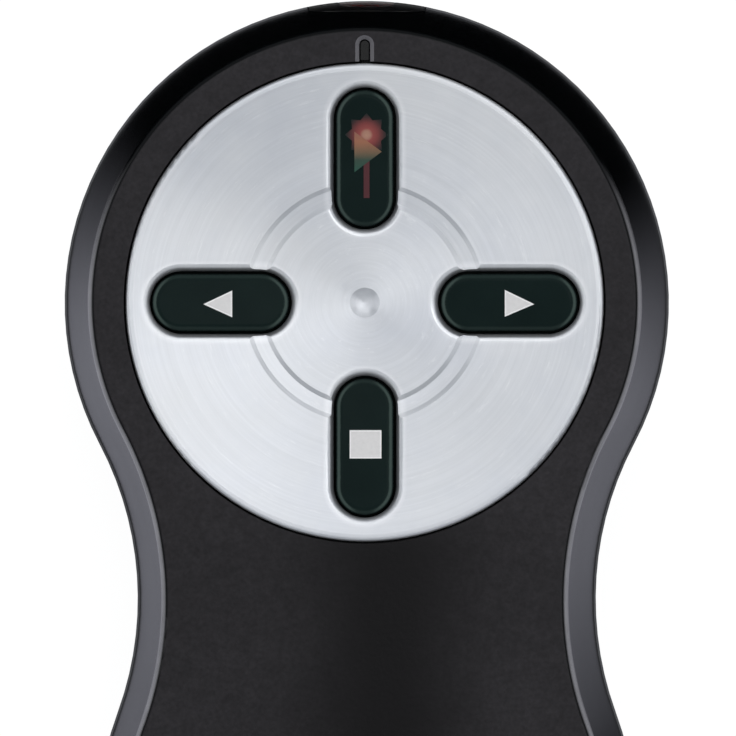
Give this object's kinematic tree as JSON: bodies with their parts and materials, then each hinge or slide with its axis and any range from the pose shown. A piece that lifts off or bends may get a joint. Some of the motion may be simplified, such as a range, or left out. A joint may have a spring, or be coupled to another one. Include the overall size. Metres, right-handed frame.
{
  "type": "wireless presentation clicker",
  "caption": "Hourglass hand-held slide clicker with a dished silver key disc, laser nose, sliding battery door and USB receiver docked in the tail.",
  "frame": {"origin": "on the resting plane, under the middle of the part's bounding box", "axes": "+Y towards the laser nose, +X to the right seen from above with the nose up, +Z out of the key face"},
  "size_m": [0.0438, 0.1066, 0.0243],
  "materials": {
    "casing_black": "fine satin moulding texture",
    "casing_base": "fine satin moulding texture",
    "door_black": "fine satin moulding texture",
    "disc_silver": "satin silver paint with circular brushing",
    "key_black": "semi-gloss",
    "plunger_black": "smooth",
    "switch_body": "tinned steel cover",
    "board_green": "solder resist",
    "chip_black": "moulded epoxy",
    "tin_plate": "bright can",
    "ceramic_tan": "fired ceramic",
    "led_white": "clear resin over phosphor",
    "light_pipe": "clear smoke resin",
    "barrel_brass": "turned",
    "lens_clear": "polished",
    "diode_can": "gold-plated can",
    "bezel_black": "polished moulding",
    "window_red": "polished",
    "cell_sleeve": "printed sleeve",
    "contact_nickel": "nickel-plated spring steel",
    "receiver_black": "fine satin moulding texture",
    "plug_steel": "nickel-plated sheet",
    "plug_plastic": "smooth",
    "pin_gold": "gold flash",
    "screw_zinc": "zinc-plated"
  },
  "bodies": {
    "casing": {"top_shell": "casing_black", "bottom_shell": "casing_base", "face_disc": "disc_silver", "main_board": "board_green", "radio_chip": "chip_black", "crystal": "tin_plate", "board_passives": "ceramic_tan", "dock_switch": "switch_body", "status_led": "led_white", "status_lens": "light_pipe", "laser_barrel": "barrel_brass", "laser_lens": "lens_clear", "laser_diode": "diode_can", "laser_bezel": "bezel_black", "laser_window": "window_red", "battery_1": "cell_sleeve", "battery_2": "cell_sleeve", "positive_contact": "contact_nickel", "negative_contact": "contact_nickel", "bridge_contact": "contact_nickel", "casing_screws": "screw_zinc", "board_screws": "screw_zinc", "laser_switch": "switch_body", "back_switch": "switch_body", "forward_switch": "switch_body", "stop_switch": "switch_body"},
    "laser_button": {"laser_key": "key_black", "laser_plunger": "plunger_black"},
    "back_button": {"back_key": "key_black", "back_plunger": "plunger_black"},
    "forward_button": {"forward_key": "key_black", "forward_plunger": "plunger_black"},
    "stop_button": {"stop_key": "key_black", "stop_plunger": "plunger_black"},
    "door": {"battery_door": "door_black"},
    "receiver": {"receiver_lower": "receiver_black", "receiver_upper": "receiver_black", "receiver_board": "board_green", "receiver_chip": "chip_black", "plug_shell": "plug_steel", "plug_tongue": "plug_plastic", "plug_contacts": "pin_gold"}
  },
  "joints": [
    {"name": "laser_press", "type": "slide", "parent": "casing", "child": "laser_button", "axis": [0, 0, -1], "range_m": [0, 0.0004], "stiffness_N_per_m": 3000},
    {"name": "back_press", "type": "slide", "parent": "casing", "child": "back_button", "axis": [0, 0, -1], "range_m": [0, 0.0004], "stiffness_N_per_m": 3000},
    {"name": "forward_press", "type": "slide", "parent": "casing", "child": "forward_button", "axis": [0, 0, -1], "range_m": [0, 0.0004], "stiffness_N_per_m": 3000},
    {"name": "stop_press", "type": "slide", "parent": "casing", "child": "stop_button", "axis": [0, 0, -1], "range_m": [0, 0.0004], "stiffness_N_per_m": 3000},
    {"name": "door_slide", "type": "slide", "parent": "casing", "child": "door", "axis": [0, -1, 0], "range_m": [0, 0.065]},
    {"name": "receiver_slide", "type": "slide", "parent": "casing", "child": "receiver", "axis": [0, -1, 0], "range_m": [0, 0.045]}
  ]
}
